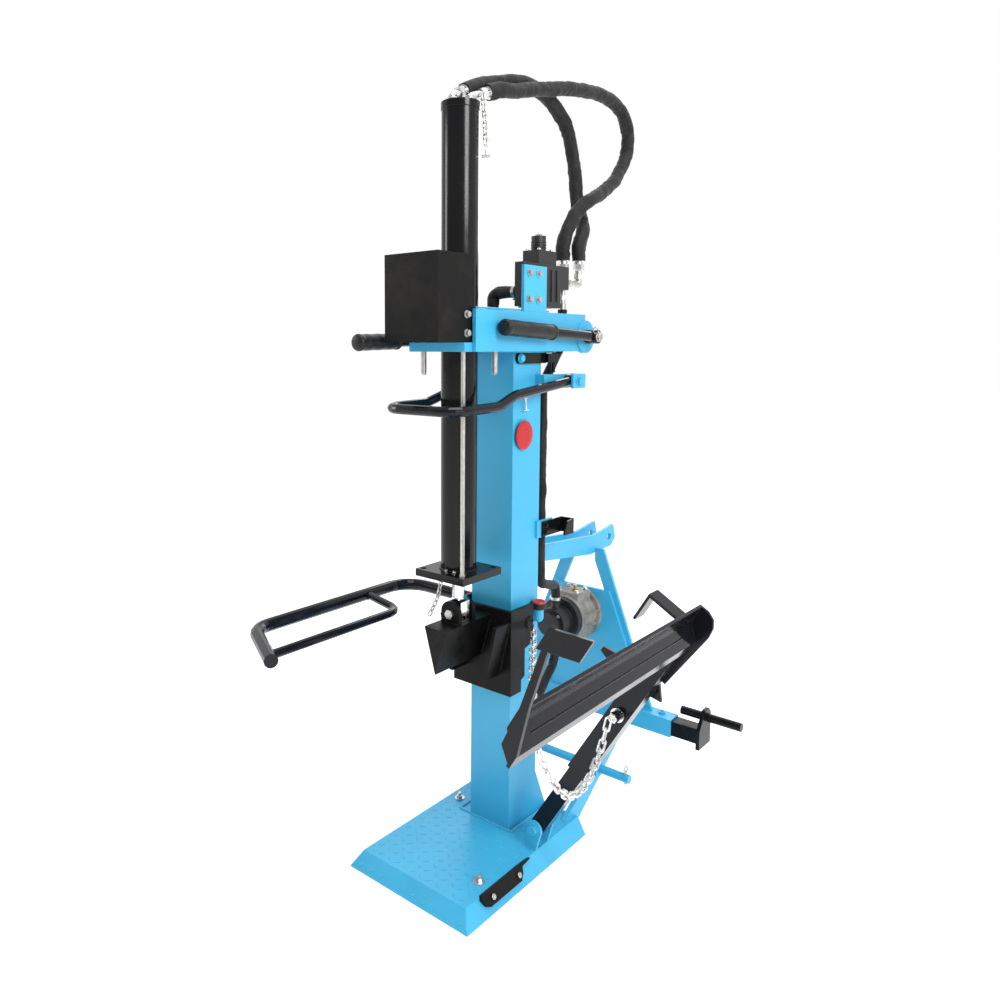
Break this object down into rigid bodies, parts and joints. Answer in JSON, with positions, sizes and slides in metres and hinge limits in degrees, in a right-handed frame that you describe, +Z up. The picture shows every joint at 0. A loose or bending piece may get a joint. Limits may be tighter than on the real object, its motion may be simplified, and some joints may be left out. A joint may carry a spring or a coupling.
{
  "type": "log splitter",
  "caption": "Upright tractor-mounted hydraulic log splitter with a square column, sliding cylinder and wedge, control hoop, log lifter and three-point hitch.",
  "frame": {"origin": "centre of the base plate's underside, on the floor", "axes": "+Z up along the column, +X to the machine's right, -Y to the front where the wedge is"},
  "size_m": [1.3685, 1.4994, 2.4042],
  "materials": {
    "blue_paint": "semi-gloss powder coat",
    "black_paint": "gloss enamel",
    "gloss_black": "gloss enamel",
    "zinc_steel": "zinc plated",
    "bright_zinc": "bright zinc",
    "chain_steel": "galvanised",
    "hose_sleeve": "woven textile sleeve over rubber hose",
    "rubber_grip": "moulded rubber",
    "red_plastic": "moulded",
    "chrome_rod": "hard chrome",
    "cast_grey": "as cast",
    "brass_plug": "machined",
    "black_casting": "painted casting"
  },
  "bodies": {
    "frame": {"base_plate": "blue_paint", "base_bolts": "zinc_steel", "base_claw": "black_paint", "column": "blue_paint", "head_plate": "blue_paint", "right_cheek": "blue_paint", "left_cheek": "blue_paint", "guard_box": "black_paint", "lock_studs": "zinc_steel", "valve_plate": "blue_paint", "head_bolts": "zinc_steel", "valve_block": "black_casting", "valve_fittings": "zinc_steel", "return_pipe": "blue_paint", "return_hose": "hose_sleeve", "hoop_brackets": "blue_paint", "mast": "blue_paint", "crossbeam": "blue_paint", "rear_legs": "blue_paint", "gearbox_plate": "blue_paint", "gearbox": "cast_grey", "pump": "black_casting", "gearbox_bolts": "zinc_steel", "breather": "brass_plug", "pto_rest": "black_paint", "filler_neck": "blue_paint", "suction_elbow": "zinc_steel", "suction_hose": "hose_sleeve", "pressure_hose": "hose_sleeve", "lifter_ears": "blue_paint"},
    "barrel": {"barrel": "gloss_black", "barrel_cap": "gloss_black", "gland": "zinc_steel", "stop_rod": "zinc_steel", "port_elbows": "bright_zinc", "hose_lift": "hose_sleeve", "hose_split": "hose_sleeve"},
    "wedge": {"piston": "zinc_steel", "piston_rod": "chrome_rod", "clevis_pin": "zinc_steel", "wedge": "black_paint", "carriage": "black_paint"},
    "lifter": {"lifter_arm": "black_paint", "cradle": "black_paint", "slack_chain": "chain_steel", "hoist_chain": "chain_steel"},
    "log_arm": {"log_arm": "black_paint"},
    "hoop": {"hoop_lever": "black_paint"},
    "link": {"lever_link": "black_paint"},
    "spool": {"valve_spool": "zinc_steel"},
    "right_lever": {"right_lever": "black_paint", "right_grip": "rubber_grip"},
    "left_lever": {"left_lever": "black_paint", "left_grip": "rubber_grip"},
    "pto": {"pto_shaft": "zinc_steel"},
    "insert_right": {"beam_insert_right": "black_paint"},
    "insert_left": {"beam_insert_left": "black_paint"},
    "cap": {"filler_cap": "red_plastic"},
    "shaft": {"hitch_shaft": "blue_paint", "linch_pins": "zinc_steel"}
  },
  "joints": [
    {"name": "barrel_lift", "type": "slide", "parent": "frame", "child": "barrel", "axis": [0, 0, 1], "range_m": [0, 0.62], "deforming": ["hose_lift", "hose_split"]},
    {"name": "wedge_stroke", "type": "slide", "parent": "barrel", "child": "wedge", "axis": [0, 0, -1], "range_m": [0, 0.44]},
    {"name": "log_lift", "type": "hinge", "parent": "frame", "child": "lifter", "pos_m": [0.185, 0.1, 0.112], "axis": [0, 1, 0], "range_deg": [0, 50]},
    {"name": "log_arm_swing", "type": "hinge", "parent": "frame", "child": "log_arm", "pos_m": [-0.101, 0.195, 0.725], "axis": [0, 0, 1], "range_deg": [-60, 15]},
    {"name": "hoop_tilt", "type": "hinge", "parent": "frame", "child": "hoop", "pos_m": [0, 0.33, 1.448], "axis": [1, 0, 0], "range_deg": [-5, 12]},
    {"name": "link_tilt", "type": "hinge", "parent": "frame", "child": "link", "pos_m": [0.076, 0.113, 1.52], "axis": [1, 0, 0], "range_deg": [-3, 1.5]},
    {"name": "spool_travel", "type": "slide", "parent": "frame", "child": "spool", "axis": [0, 0, 1], "range_m": [-0.007, 0.0031]},
    {"name": "right_lever_swing", "type": "hinge", "parent": "frame", "child": "right_lever", "pos_m": [0.14, 0.43, 1.586], "axis": [1, 0, 0], "range_deg": [0, 16]},
    {"name": "left_lever_swing", "type": "hinge", "parent": "frame", "child": "left_lever", "pos_m": [-0.14, 0.43, 1.586], "axis": [1, 0, 0], "range_deg": [0, 11]},
    {"name": "pto_spin", "type": "hinge", "parent": "frame", "child": "pto", "pos_m": [0, 0.6, 0.612], "axis": [0, 1, 0], "continuous": true},
    {"name": "insert_right_slide", "type": "slide", "parent": "frame", "child": "insert_right", "axis": [1, 0, 0], "range_m": [0, 0.06]},
    {"name": "insert_left_slide", "type": "slide", "parent": "frame", "child": "insert_left", "axis": [-1, 0, 0], "range_m": [0, 0.06]},
    {"name": "cap_lift", "type": "slide", "parent": "frame", "child": "cap", "axis": [0, 0, 1], "range_m": [0, 0.05]},
    {"name": "shaft_slide", "type": "slide", "parent": "frame", "child": "shaft", "axis": [1, 0, 0], "range_m": [0, 0.05]}
  ],
  "couplings": [
    {"joint": "link_tilt", "follows": "hoop_tilt", "ratio": -0.226},
    {"joint": "spool_travel", "follows": "hoop_tilt", "m_per_rad": -0.031}
  ]
}
